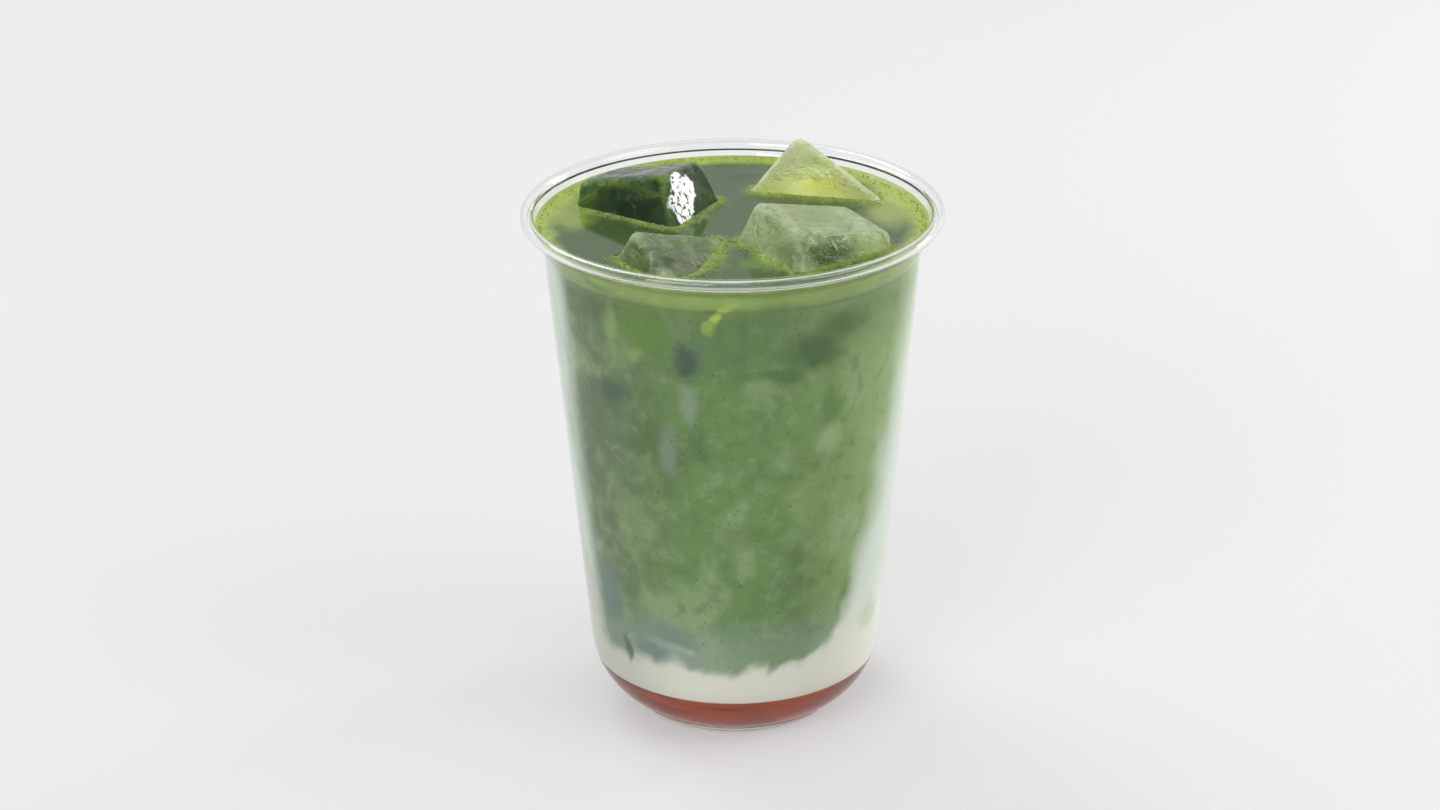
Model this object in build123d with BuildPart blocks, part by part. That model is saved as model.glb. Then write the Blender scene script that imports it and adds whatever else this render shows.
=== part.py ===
"""Iced matcha latte in a clear U-shaped takeaway cup, in millimetres.

The cup stands on Z = 0 with its axis on Z. From the floor up it holds a clear syrup, a layer of
milk whose top runs up the sides, and the matcha drink, with four ice blocks breaking the surface.
"""
from build123d import *
import os
from dataclasses import dataclass
from math import cos, hypot, pi, sin

# ---------------------------------------------------------------- driving dimensions
# cup: the mouth, the heights and the sheet
cup_height = 125.0          # floor to the top of the rolled rim
rim_radius = 49.0           # outside of the rolled rim
bead_radius = 1.45          # section of the rolled rim
wall = 0.6                  # sheet thickness
neck_height = 9.3           # flared neck, from the crease where the straight wall ends
shoulder_radius = 43.85     # outside, at the crease
neck_bulge = 0.25           # how far the neck swells out between crease and rim
heel_height = 16.4          # where the straight wall turns into the rounded heel
heel_radius = 34.7          # outside, at that height
foot_radius = 24.7          # short foot that the cup stands on
foot_height = 1.6
foot_fillet = 0.6
recess_radius = 21.6        # hollow under the floor
recess_height = 1.0

# drink: the levels of the layers
headspace = 4.8             # from the drink's surface up to the top of the rim
syrup_height = 13.1         # top of the syrup
milk_height = 23.0          # top of the milk, at the front and the back
milk_rise = 38.0            # how much higher the milk stands at the left and the right
milk_ripple = 1.3           # height of the waves in its top
milk_wave = 19.0            # length of one wave across the cup
milk_steps = 16             # spans each way in its top

# ice: edge rounding shared by the blocks, and the mouth that their places and sizes are for
ice_round = 2.4
ice_mouth = 43.2475         # inner radius at the crease, or at the drink's surface if it is lower

shoulder_height = cup_height - neck_height
fill_height = cup_height - headspace

# ---------------------------------------------------------------- the cup's outline
bead_height = cup_height - bead_radius
bead_centre = rim_radius - bead_radius
floor_top = recess_height + wall
slope = (shoulder_radius - heel_radius) / (shoulder_height - heel_height)
lean = hypot(1, slope)
down_the_wall = (-slope, -1)


def wall_point(height, inset=0.0):
    """Point on the straight wall at a height, inset from the outside of the sheet."""
    return (heel_radius + slope * (height - heel_height) - inset * lean, height)


def neck_points(inset=0.0):
    """Start, middle and end of the flared neck, inset from the outside of the sheet."""
    low = wall_point(shoulder_height, inset)
    high = (bead_centre - bead_radius + wall - inset, bead_height)
    middle = ((low[0] + high[0]) / 2 + neck_bulge, (low[1] + high[1]) / 2)
    return low, middle, high


foot_top = (foot_radius, foot_height)
floor_edge = (foot_radius - wall, floor_top)

with BuildPart() as cup:
    with BuildSketch(Plane.XZ):
        with BuildLine():
            TangentArc(wall_point(heel_height), foot_top, tangent=down_the_wall)
            Line(wall_point(heel_height), wall_point(shoulder_height))
            ThreePointArc(*neck_points())
            Line(neck_points()[2], neck_points(wall)[2])
            ThreePointArc(*neck_points(wall))
            Line(wall_point(heel_height, wall), wall_point(shoulder_height, wall))
            TangentArc(wall_point(heel_height, wall), floor_edge, tangent=down_the_wall)
            Polyline(
                floor_edge,
                (0, floor_top),
                (0, recess_height),
                (recess_radius, recess_height),
                (recess_radius, 0),
                (foot_radius, 0),
                foot_top,
            )
        make_face()
        with Locations((bead_centre, bead_height)):
            Circle(bead_radius)
    revolve(axis=Axis.Z)
    fillet(cup.edges().filter_by(GeomType.CIRCLE).group_by(Axis.Z)[0], foot_fillet)
cup.part.label = "cup"

# ---------------------------------------------------------------- what the cup holds
with BuildPart() as cavity:
    with BuildSketch(Plane.XZ):
        with BuildLine():
            TangentArc(wall_point(heel_height, wall), floor_edge, tangent=down_the_wall)
            Line(wall_point(heel_height, wall), wall_point(shoulder_height, wall))
            ThreePointArc(*neck_points(wall))
            Polyline(neck_points(wall)[2], (0, bead_height), (0, floor_top), floor_edge)
        make_face()
    revolve(axis=Axis.Z)
    split(bisect_by=Plane.XY.offset(fill_height), keep=Keep.BOTTOM)


def milk_level(x, y):
    """Height of the milk's top: level across the middle, rising to the sides, gently waved."""
    rise = milk_rise * (x / shoulder_radius) ** 4
    wave = sin(2 * pi * x / milk_wave) * cos(pi * y / milk_wave)
    return milk_height + rise + milk_ripple * wave


def milk_top():
    """Waved face of the milk's top, from wall to wall and a little past them."""
    reach = shoulder_radius + 1
    places = [reach * (2 * step / milk_steps - 1) for step in range(milk_steps + 1)]
    return Face.make_surface_from_array_of_points(
        [[Vector(x, y, milk_level(x, y)) for x in places] for y in places]
    )


with BuildPart() as below_milk_top:
    extrude(milk_top(), amount=cup_height, dir=(0, 0, -1))

with BuildPart() as syrup:
    add(cavity.part)
    split(bisect_by=Plane.XY.offset(syrup_height), keep=Keep.BOTTOM)
syrup.part.label = "syrup"

with BuildPart() as milk:
    add(cavity.part)
    split(bisect_by=Plane.XY.offset(syrup_height), keep=Keep.TOP)
    add(below_milk_top.part, mode=Mode.INTERSECT)
milk.part.label = "milk"

# ---------------------------------------------------------------- ice
# the blocks keep their room in a narrower or wider mouth
fit = wall_point(min(fill_height, shoulder_height), wall)[0] / ice_mouth


@dataclass(frozen=True)
class Block:
    """A tapered ice block: its place, its turn and its two end faces."""

    label: str
    x: float
    y: float
    lift: float             # centre above the drink's surface, negative where sunk
    turn: tuple             # degrees about X, Y and Z
    face: tuple             # width and depth of the upper face
    base: tuple             # width and depth of the lower face
    height: float

    def plane(self, share):
        """Plane through the middle of the block, square to its axis, a share along its height."""
        middle = (self.x * fit, self.y * fit, fill_height + self.lift * fit)
        return Plane(Location(middle, self.turn)).offset(self.height * fit * share)

    def solid(self):
        """The rounded block."""
        with BuildPart() as piece:
            with BuildSketch(self.plane(-0.5)):
                Rectangle(self.base[0] * fit, self.base[1] * fit)
            with BuildSketch(self.plane(0.5)):
                Rectangle(self.face[0] * fit, self.face[1] * fit)
            loft()
            fillet(piece.edges(), ice_round * fit)
        piece.part.label = self.label
        return piece.part


blocks = [
    Block("ice_back_left", -20.0, 13.6, -2.6, (-12.0, -8.5, -30.6), (24.0, 18.0), (33.5, 28.0), 21.9),
    Block("ice_back_right", 19.3, 22.2, -5.4, (54.1, -10.9, -41.2), (30.0, 25.8), (20.6, 18.3), 14.3),
    Block("ice_front_left", -13.3, -22.0, -8.0, (9.0, 27.0, 33.0), (28.2, 17.0), (23.2, 21.6), 22.0),
    Block("ice_front_right", 18.9, -15.1, -0.5, (-4.7, 13.0, 32.7), (27.6, 18.8), (26.2, 32.0), 16.0),
]

ice = [block.solid() for block in blocks]

with BuildPart() as matcha:
    add(cavity.part)
    add(below_milk_top.part, mode=Mode.SUBTRACT)
    for piece_of_ice in ice:
        add(piece_of_ice, mode=Mode.SUBTRACT)
matcha.part.label = "matcha"

# ---------------------------------------------------------------- one file for each piece
os.makedirs("parts", exist_ok=True)
for part in [cup.part, syrup.part, milk.part, matcha.part, *ice]:
    export_step(part, f"parts/{part.label}.step")
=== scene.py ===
import logging
import math
import random
from dataclasses import dataclass
from enum import Enum
from typing import Callable, Optional

import bmesh
import bpy
from mathutils import Matrix, Vector, noise
from mathutils.bvhtree import BVHTree


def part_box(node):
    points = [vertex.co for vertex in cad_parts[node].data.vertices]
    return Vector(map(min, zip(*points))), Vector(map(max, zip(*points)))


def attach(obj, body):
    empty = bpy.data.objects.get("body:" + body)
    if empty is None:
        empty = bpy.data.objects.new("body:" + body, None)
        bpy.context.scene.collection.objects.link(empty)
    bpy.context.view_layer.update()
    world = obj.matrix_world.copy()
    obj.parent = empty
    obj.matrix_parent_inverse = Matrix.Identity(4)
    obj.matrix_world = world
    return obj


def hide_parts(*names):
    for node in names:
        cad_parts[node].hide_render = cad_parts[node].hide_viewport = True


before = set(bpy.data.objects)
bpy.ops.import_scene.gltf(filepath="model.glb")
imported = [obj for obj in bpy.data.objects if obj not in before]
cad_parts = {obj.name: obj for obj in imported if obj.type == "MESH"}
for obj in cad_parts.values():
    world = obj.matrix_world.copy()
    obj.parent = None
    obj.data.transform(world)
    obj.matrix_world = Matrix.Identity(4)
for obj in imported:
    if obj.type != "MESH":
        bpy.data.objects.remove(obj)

log = logging.getLogger("iced_matcha")
MM = 0.001
ROOT = "root"


class Slot(Enum):
    """Names of the material slots."""

    CUP = "clear_cup"
    SYRUP = "syrup"
    MILK = "milk"
    MATCHA = "matcha"
    ICE = "ice"


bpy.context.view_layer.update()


def srgb(red: int, green: int, blue: int) -> tuple[float, float, float, float]:
    """Turn an everyday 0 to 255 colour into the linear values that shaders take.

    Args:
        red: red, 0 to 255.
        green: green, 0 to 255.
        blue: blue, 0 to 255.

    Returns:
        The linear colour with an alpha of 1.
    """
    def linear(value: int) -> float:
        """Linear value of one channel."""
        share = value / 255
        return share / 12.92 if share <= 0.04045 else ((share + 0.055) / 1.055) ** 2.4

    return (linear(red), linear(green), linear(blue), 1.0)


# ------------------------------------------------------------------ shader building
class Shader:
    """A material's node tree, with short calls for the nodes that the finishes use."""

    def __init__(self, name: str) -> None:
        """Start an empty node tree with its output.

        Args:
            name: name of the material.
        """
        self.material = bpy.data.materials.new(name)
        self.material.use_nodes = True
        self.tree = self.material.node_tree
        self.tree.nodes.clear()
        self.output = self.tree.nodes.new("ShaderNodeOutputMaterial")

    def node(self, kind: str, **settings: object) -> bpy.types.Node:
        """Add a node and set its own settings.

        Args:
            kind: the node's type.
            settings: its own settings, by name.

        Returns:
            The node.
        """
        made = self.tree.nodes.new(kind)
        for key, value in settings.items():
            setattr(made, key, value)
        return made

    def link(self, source: object, target: bpy.types.NodeSocket) -> None:
        """Put a socket's output, or a plain value, into an input.

        Args:
            source: the output, or the value.
            target: the input.
        """
        if isinstance(source, bpy.types.NodeSocket):
            self.tree.links.new(source, target)
        else:
            target.default_value = source

    def math(self, operation: str, first: object, second: object = 0.0, clamp: bool = False) -> object:
        """Return the output of a Math node on two values or sockets.

        Args:
            operation: what the node does.
            first: the first value.
            second: the second value.
            clamp: True to keep the result between 0 and 1.

        Returns:
            The result.
        """
        made = self.node("ShaderNodeMath", operation=operation, use_clamp=clamp)
        self.link(first, made.inputs[0])
        self.link(second, made.inputs[1])
        return made.outputs[0]

    def ramp(self, value: object, low: float, high: float, start: float = 0.0, end: float = 1.0) -> object:
        """Return a smooth step of a value from low to high, running from start to end.

        Args:
            value: the value.
            low: where the step starts.
            high: where it ends.
            start: the result at the low end.
            end: the result at the high end.

        Returns:
            The stepped value.
        """
        made = self.node("ShaderNodeMapRange", interpolation_type="SMOOTHSTEP")
        for source, socket in zip((value, low, high, start, end), made.inputs):
            self.link(source, socket)
        return made.outputs[0]

    def mix(self, share: object, first: object, second: object) -> object:
        """Return a colour between two colours.

        Args:
            share: share of the second colour.
            first: the first colour.
            second: the second colour.

        Returns:
            The mixed colour.
        """
        made = self.node("ShaderNodeMix", data_type="RGBA")
        self.link(share, made.inputs["Factor"])
        self.link(first, made.inputs[6])
        self.link(second, made.inputs[7])
        return made.outputs[2]

    def place(self) -> object:
        """Return the point on the piece, in metres."""
        return self.node("ShaderNodeTexCoord").outputs["Object"]

    def axes(self, place: object) -> list[object]:
        """Return the three parts of a point.

        Args:
            place: the point.

        Returns:
            Its X, Y and Z.
        """
        made = self.node("ShaderNodeSeparateXYZ")
        self.link(place, made.inputs[0])
        return list(made.outputs)

    def stretched(self, place: object, stretch: tuple, shift: tuple = (0, 0, 0)) -> object:
        """Return a point stretched along the axes and moved, for a pattern that follows a direction.

        Args:
            place: the point.
            stretch: scale along X, Y and Z.
            shift: how far it is moved, in metres.

        Returns:
            The new point.
        """
        made = self.node("ShaderNodeMapping")
        self.link(place, made.inputs["Vector"])
        made.inputs["Scale"].default_value = stretch
        made.inputs["Location"].default_value = shift
        return made.outputs[0]

    def noise(self, place: object, scale: float, detail: float = 3.0, rough: float = 0.5,
              distort: float = 0.0) -> object:
        """Return cloudy noise between 0 and 1 at a point.

        Args:
            place: the point.
            scale: scale of the clouds.
            detail: how many finer layers they have.
            rough: strength of the finer layers.
            distort: how far the clouds are pulled about.

        Returns:
            The noise.
        """
        made = self.node("ShaderNodeTexNoise")
        self.link(place, made.inputs["Vector"])
        made.inputs["Scale"].default_value = scale
        made.inputs["Detail"].default_value = detail
        made.inputs["Roughness"].default_value = rough
        made.inputs["Distortion"].default_value = distort
        return made.outputs[0]

    def cells(self, place: object, scale: float) -> object:
        """Return the distance to the nearest of many scattered points.

        Args:
            place: the point.
            scale: how many scattered points there are in a metre.

        Returns:
            The distance, 1 at about the spacing of the points.
        """
        made = self.node("ShaderNodeTexVoronoi")
        self.link(place, made.inputs["Vector"])
        made.inputs["Scale"].default_value = scale
        return made.outputs["Distance"]

    def cracks(self, place: object, scale: float, width: float) -> object:
        """Return 1 on thin lines between scattered cells, falling to 0 beside them.

        Args:
            place: the point.
            scale: how many cells there are in a metre.
            width: half the width of a line, as a share of a cell.

        Returns:
            The line's strength.
        """
        made = self.node("ShaderNodeTexVoronoi", feature="DISTANCE_TO_EDGE")
        self.link(place, made.inputs["Vector"])
        made.inputs["Scale"].default_value = scale
        return self.ramp(made.outputs["Distance"], width, 0.0)

    def attribute(self, name: str) -> object:
        """Return a piece's own painted value."""
        return self.node("ShaderNodeAttribute", attribute_name=name).outputs["Fac"]

    def vector_math(self, operation: str, first: object, second: object, output: int = 0) -> object:
        """Return the output of a Vector Math node on two points.

        Args:
            operation: what the node does.
            first: the first point.
            second: the second point.
            output: which of its outputs.

        Returns:
            The result.
        """
        made = self.node("ShaderNodeVectorMath", operation=operation)
        self.link(first, made.inputs[0])
        self.link(second, made.inputs[1])
        return made.outputs[output]

    def warped(self, place: object, scale: float, reach: float) -> object:
        """Return a point pushed about by noise, so that a pattern on it swirls.

        Args:
            place: the point.
            scale: scale of the noise.
            reach: how far the noise spreads the points, in metres.

        Returns:
            The pushed point.
        """
        made = self.node("ShaderNodeTexNoise")
        self.link(place, made.inputs["Vector"])
        made.inputs["Scale"].default_value = scale
        made.inputs["Detail"].default_value = 3.0
        centred = self.vector_math("SUBTRACT", made.outputs["Color"], (0.5, 0.5, 0.5))
        push = self.vector_math("MULTIPLY", centred, (2 * reach, 2 * reach, 2 * reach))
        return self.vector_math("ADD", place, push)

    def spot(self, place: object, centre: tuple, size: tuple, soft: float = 1.0) -> object:
        """Return 1 inside an egg-shaped patch about a centre, falling softly to 0 at its edge.

        Args:
            place: the point that is tested.
            centre: middle of the patch, in millimetres.
            size: half sizes of the patch along X, Y and Z, in millimetres.
            soft: share of the patch that its soft edge takes.

        Returns:
            The patch's strength at the point.
        """
        away = self.vector_math("SUBTRACT", place, tuple(part * MM for part in centre))
        scaled = self.vector_math("DIVIDE", away, tuple(part * MM for part in size))
        length = self.vector_math("LENGTH", scaled, (0, 0, 0), 1)
        return self.ramp(length, 1.0 - soft, 1.0, 1.0, 0.0)

    def patched(self, place: object, colour: object, patches: tuple) -> object:
        """Return a colour with soft patches of other colours laid over it.

        Args:
            place: the point, already swirled.
            colour: the colour under the patches.
            patches: the patches, from the lowest to the topmost.

        Returns:
            The patched colour.
        """
        for patch in patches:
            strength = self.math("MULTIPLY", self.spot(place, patch.centre, patch.size, 0.75), patch.strength)
            colour = self.mix(strength, colour, patch.colour)
        return colour

    def bump(self, height: object, depth: float, strength: float = 1.0) -> object:
        """Return a normal bumped by a height, at a depth in metres.

        Args:
            height: the height, 0 to 1.
            depth: how deep the bumps are, in metres.
            strength: how strongly they show.

        Returns:
            The bumped normal.
        """
        made = self.node("ShaderNodeBump")
        made.inputs["Strength"].default_value = strength
        made.inputs["Distance"].default_value = depth
        self.link(height, made.inputs["Height"])
        return made.outputs[0]

    def principled(self, **values: object) -> bpy.types.Node:
        """Add a Principled shader; a keyword names its socket, with _ for a space.

        Args:
            values: what goes into its sockets.

        Returns:
            The shader node.
        """
        made = self.node("ShaderNodeBsdfPrincipled")
        for key, value in values.items():
            self.link(value, made.inputs[key.replace("_", " ")])
        return made

    def finish(self, surface: bpy.types.NodeSocket, lamps_pass: bool = False) -> bpy.types.Material:
        """Join the surface to the output.

        Args:
            surface: the shader that the camera sees.
            lamps_pass: True for clear pieces, which let the lamps' light through to what is inside.

        Returns:
            The finished material.
        """
        if lamps_pass:
            path = self.node("ShaderNodeLightPath")
            clear = self.node("ShaderNodeBsdfTransparent")
            clear.inputs[0].default_value = (0.93, 0.93, 0.93, 1.0)
            either = self.node("ShaderNodeMixShader")
            self.link(path.outputs["Is Shadow Ray"], either.inputs[0])
            self.link(surface, either.inputs[1])
            self.link(clear.outputs[0], either.inputs[2])
            surface = either.outputs[0]
        self.link(surface, self.output.inputs["Surface"])
        return self.material


# ------------------------------------------------------------------ finishes
@dataclass(frozen=True)
class ClearSheet:
    """Clear thermoformed sheet: glossy, with the faintest ripple from its mould."""

    colour: tuple = (0.985, 0.995, 0.99, 1.0)
    bend: float = 1.41
    ripple: float = 0.00002

    def material(self) -> bpy.types.Material:
        """Build the sheet's material.

        Returns:
            The material.
        """
        shader = Shader("clear_sheet")
        place = shader.place()
        wave = shader.noise(shader.stretched(place, (1, 1, 0.3)), 90, 2.0)
        normal = shader.bump(wave, self.ripple, 0.4)
        surface = shader.principled(
            Base_Color=self.colour, Roughness=0.03, IOR=self.bend, Transmission_Weight=1.0, Normal=normal)
        return shader.finish(surface.outputs[0], lamps_pass=True)


@dataclass(frozen=True)
class Patch:
    """One patch of colour that shows through the wall.

    Attributes:
        centre: its middle, in millimetres.
        size: its half sizes, in millimetres.
        colour: its colour.
        strength: how much of it covers what lies behind.
    """

    centre: tuple
    size: tuple
    colour: tuple
    strength: float = 0.8


@dataclass(frozen=True)
class Ice:
    """Wet ice: clear to milky, frosted in patches, cracked and dimpled where it melts, with painted highlights on its
    rounded edges and, where given, on one face.

    Attributes:
        name: name of the material.
        light: colour of its clearer patches.
        dark: colour of its deeper patches.
        clarity: share of the light that passes through.
        frost: extra roughness of its frosted patches.
        dent: depth of its dimples, in metres.
        seed: shift of its pattern, in metres.
        edge: colour of the painted highlight on its rounded edges.
        edge_highlight_strength: how strongly that painted highlight shows.
        patches: patches of colour in it.
        shade: colour of the painted shade in the hollows between its waves.
        sparkle: colour of its cracks and trapped air.
        cracked: how strongly those show.
        painted_glint: middle and half sizes of a painted highlight, a face painted white in speckles where a lamp's
            reflection falls, in millimetres.
        bend: how much it bends light.
    """

    name: str
    light: tuple
    dark: tuple
    clarity: float
    frost: float
    dent: float
    seed: float
    edge: tuple = srgb(150, 182, 116)
    edge_highlight_strength: float = 0.6
    patches: tuple = ()
    shade: tuple = srgb(96, 122, 72)
    sparkle: tuple = srgb(226, 234, 212)
    cracked: float = 0.55
    painted_glint: tuple = ((0, 0, 0), (0.1, 0.1, 0.1))
    bend: float = 1.31

    def material(self) -> bpy.types.Material:
        """Build the ice's material.

        Returns:
            The material.
        """
        shader = Shader(self.name)
        here = shader.place()
        place = shader.stretched(here, (1, 1, 1), (self.seed, self.seed, 0))
        patches = shader.noise(shader.warped(place, 90, 0.004), 105, 4.0, 0.55)
        waves = shader.noise(shader.warped(place, 160, 0.003), 420, 3.0, 0.55)
        fine = shader.noise(place, 1500, 4.0, 0.7)
        streaks = shader.noise(shader.stretched(shader.warped(place, 70, 0.005), (1.5, 0.4, 1)), 170, 3.0, 0.5)
        specks = shader.ramp(shader.cells(shader.warped(place, 300, 0.001), 620), 0.17, 0.07)
        cracks = shader.cracks(shader.warped(shader.warped(place, 120, 0.006), 500, 0.001), 105, 0.06)
        cracks = shader.math("MULTIPLY", cracks, shader.ramp(waves, 0.42, 0.56))
        frosted = shader.ramp(patches, 0.44, 0.66)
        colour = shader.mix(shader.ramp(streaks, 0.34, 0.66), self.dark, self.light)
        colour = shader.patched(shader.warped(here, 180, 0.0022), colour, self.patches)
        # Painted highlight: the rounded edges are painted lighter, standing in for light caught along them.
        edge = shader.math("MULTIPLY", shader.attribute("edge"), self.edge_highlight_strength)
        colour = shader.mix(edge, colour, self.edge)
        colour = shader.mix(shader.ramp(fine, 0.54, 0.70, 0.0, 0.40), colour, self.light)
        # Painted shade: the hollows between the waves are painted darker.
        colour = shader.mix(shader.ramp(waves, 0.46, 0.34, 0.0, 0.45), colour, self.shade)
        colour = shader.mix(shader.math("MULTIPLY", cracks, self.cracked), colour, self.sparkle)
        colour = shader.mix(shader.math("MULTIPLY", specks, self.cracked * 0.8), colour, self.sparkle)
        # Painted highlight: a speckled white patch on one face stands in for a lamp's reflection, and the ice is less
        # clear there.
        facet = shader.spot(shader.warped(shader.warped(here, 190, 0.0026), 700, 0.0006), *self.painted_glint, 0.16)
        painted_glint = shader.math("MULTIPLY", facet, shader.ramp(shader.noise(place, 620, 4.0, 0.7), 0.40, 0.47))
        colour = shader.mix(painted_glint, colour, srgb(252, 253, 251))
        solid = shader.math("MAXIMUM", shader.math("MULTIPLY", edge, 0.6), painted_glint)
        clarity = shader.math("MULTIPLY", self.clarity, shader.math("SUBTRACT", 1.0, solid))
        rough = shader.math("ADD", 0.03, shader.math("MULTIPLY", frosted, self.frost))
        relief = shader.math("ADD", shader.math("MULTIPLY", patches, 0.9), shader.math("MULTIPLY", streaks, 0.5))
        relief = shader.math("ADD", relief, shader.math("MULTIPLY", waves, 0.40))
        relief = shader.math("ADD", relief, shader.math("MULTIPLY", fine, 0.14))
        normal = shader.bump(relief, self.dent, 0.7)
        surface = shader.principled(
            Base_Color=colour, Roughness=rough, IOR=self.bend, Transmission_Weight=clarity, Normal=normal)
        return shader.finish(surface.outputs[0], lamps_pass=True)


@dataclass(frozen=True)
class Syrup:
    """Amber syrup, clear but deep in colour, duller towards the sides."""

    colour: tuple = srgb(206, 84, 14)
    deep: tuple = srgb(156, 52, 6)
    side: tuple = srgb(136, 86, 68)

    def material(self) -> bpy.types.Material:
        """Build the syrup's material.

        Returns:
            The material.
        """
        shader = Shader("syrup")
        place = shader.place()
        x, y, z = shader.axes(place)
        streaks = shader.noise(shader.stretched(place, (1, 1, 5)), 60, 4.0, 0.5, 0.4)
        colour = shader.mix(shader.ramp(streaks, 0.38, 0.66), self.colour, self.deep)
        aside = shader.ramp(shader.math("ABSOLUTE", x), 0.017, 0.030)
        colour = shader.mix(shader.math("MULTIPLY", aside, 0.75), colour, self.side)
        surface = shader.principled(
            Base_Color=colour, Roughness=0.04, IOR=1.40, Transmission_Weight=0.48)
        return shader.finish(surface.outputs[0], lamps_pass=True)


@dataclass(frozen=True)
class Drink:
    """The swirled drink: milk below and up the sides, cloudy matcha above, with a painted glow at its edges and
    painted light and shade in the hollows under the ice.
    """

    surface_height: float
    foot_of_wall: float
    slope: float
    milk: tuple = srgb(216, 216, 203)
    side_milk: tuple = srgb(200, 208, 197)
    shaded_milk: tuple = srgb(180, 184, 172)
    cold_milk: tuple = srgb(150, 168, 156)
    left: tuple = srgb(96, 116, 82)
    middle: tuple = srgb(104, 136, 74)
    right: tuple = srgb(128, 157, 90)
    pale: tuple = srgb(142, 166, 118)
    dark: tuple = srgb(72, 102, 50)
    # Pale band at the sides: partly milk film, partly painted light.
    film_and_edge_light: tuple = srgb(200, 214, 199)
    green_film_and_edge_light: tuple = srgb(168, 190, 132)
    neck: tuple = srgb(158, 184, 96)
    pool: tuple = srgb(57, 80, 42)
    # Painted glow: colour of the drink's edges, lit through the wall and the ice.
    shore_glow: tuple = srgb(142, 162, 62)
    # deep and bright: painted shade and painted light for the hollows under the ice.
    deep: tuple = srgb(34, 66, 34)
    bright: tuple = srgb(244, 250, 172)
    dips: tuple = (
        Patch((-19.0, -30.5, 25.2), (9.0, 14, 4.2), srgb(116, 138, 128), 1.0),
        Patch((-10.5, -34.0, 23.6), (5.0, 10, 3.0), srgb(132, 152, 134), 0.9),
        Patch((12.5, -33.5, 25.0), (8.0, 10, 3.0), srgb(122, 146, 108), 0.9),
        Patch((32.0, -16.5, 28.6), (4.2, 9, 6.6), srgb(168, 188, 150), 0.55),
        Patch((-26.5, -22.5, 25.0), (5.0, 9, 5.0), srgb(122, 142, 130), 0.9),
        Patch((-24.9, -25.5, 23.5), (1.3, 8, 5.8), srgb(84, 108, 72), 0.9),
        Patch((-28.0, -20.5, 33.0), (4.5, 9, 7.0), srgb(104, 126, 112), 0.8),
    )
    surface_patches: tuple = (
        Patch((37, 9, 120.5), (9, 17, 6), srgb(146, 160, 80), 0.7),
        Patch((30, 21, 120.5), (8, 7, 6), srgb(132, 146, 70), 0.8),
        Patch((-37, 8, 120.5), (8, 16, 6), srgb(128, 146, 60), 0.8),
        Patch((7, -25, 120.5), (8, 7, 6), srgb(92, 122, 48), 0.8),
        Patch((3, 33, 120.5), (10, 4, 6), srgb(46, 66, 36), 0.8),
    )
    patches: tuple = (
        Patch((24.5, -36, 110.0), (8.5, 12, 5.4), srgb(74, 106, 48), 0.9),
        Patch((18.0, -38.5, 104.2), (9.5, 12, 6.6), srgb(66, 100, 46), 0.95),
        Patch((10.5, -40.5, 98.8), (8.5, 12, 3.8), srgb(74, 108, 52), 0.85),
        Patch((21.8, -35.1, 88.6), (4.2, 9, 6.0), srgb(84, 120, 54), 0.7),
        Patch((-10.7, -41.3, 103.0), (4.2, 10, 7.0), srgb(62, 88, 70), 1.0),
        Patch((-7.0, -41.5, 106.5), (3.0, 9, 5.5), srgb(96, 124, 88), 0.6),
        Patch((-27.0, -31.4, 92.2), (5.0, 10, 4.6), srgb(68, 92, 74), 0.8),
        Patch((-20.0, -38.0, 109.0), (9.5, 12, 10.0), srgb(96, 132, 40), 0.8),
        Patch((-27.5, -32.0, 109.0), (2.2, 8, 8.0), srgb(140, 168, 92), 0.6),
        Patch((-23.0, -36.0, 102.5), (4.5, 8, 2.0), srgb(136, 162, 90), 0.6),
        Patch((-10.5, -41.0, 91.5), (3.0, 10, 8.0), srgb(134, 154, 132), 0.7),
        Patch((-14.8, -38.0, 79.0), (3.6, 10, 8.5), srgb(124, 146, 128), 0.7),
        Patch((21.5, -34.5, 81.0), (4.6, 10, 6.5), srgb(150, 174, 126), 0.7),
        Patch((6.0, -41.6, 95.5), (6.0, 10, 5.0), srgb(132, 158, 104), 0.6),
        Patch((16.0, -38.0, 66.0), (6.0, 12, 9.0), srgb(136, 162, 104), 0.5),
        Patch((2.0, -40.0, 58.0), (9.0, 12, 6.0), srgb(94, 126, 62), 0.5),
        Patch((-16.0, -31.5, 29.5), (12.5, 14, 4.8), srgb(116, 138, 126), 0.8),
        Patch((-29.5, -22.0, 38.0), (5.0, 14, 10.0), srgb(108, 130, 122), 0.85),
        Patch((-0.6, -44.4, 118.2), (2.8, 8, 1.8), srgb(190, 206, 84), 1.0),
        Patch((-2.4, -44.0, 116.3), (2.4, 8, 2.0), srgb(188, 206, 82), 1.0),
        Patch((-4.2, -43.6, 114.0), (2.2, 8, 2.2), srgb(176, 198, 80), 1.0),
        Patch((-5.6, -43.2, 111.8), (2.2, 8, 2.4), srgb(140, 168, 76), 0.9),
        Patch((-5.6, -43.6, 116.2), (2.0, 6, 1.4), srgb(46, 72, 42), 1.0),
    )

    def edge_share(self, shader: Shader, x: object, z: object) -> object:
        """Return how far out to the left or right a point lies, 1 at the wall.

        Args:
            shader: the material in the making.
            x: the point's place across.
            z: the point's height.

        Returns:
            The share of the way to the wall.
        """
        lift = shader.math("MULTIPLY", z, self.slope)
        return shader.math("DIVIDE", shader.math("ABSOLUTE", x), shader.math("ADD", lift, self.foot_of_wall))

    def climb(self, shader: Shader, out: object, steepness: float) -> object:
        """Return how far the milk climbs at a distance out, slowly at first and then straight up the side.

        Args:
            shader: the material in the making.
            out: how far out the point lies, in metres.
            steepness: how steep the climb becomes.

        Returns:
            The climb, in metres.
        """
        squared = shader.math("MULTIPLY", out, out)
        return shader.math("MULTIPLY", shader.math("DIVIDE", squared, shader.math("ADD", out, 0.004)), steepness)

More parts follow.
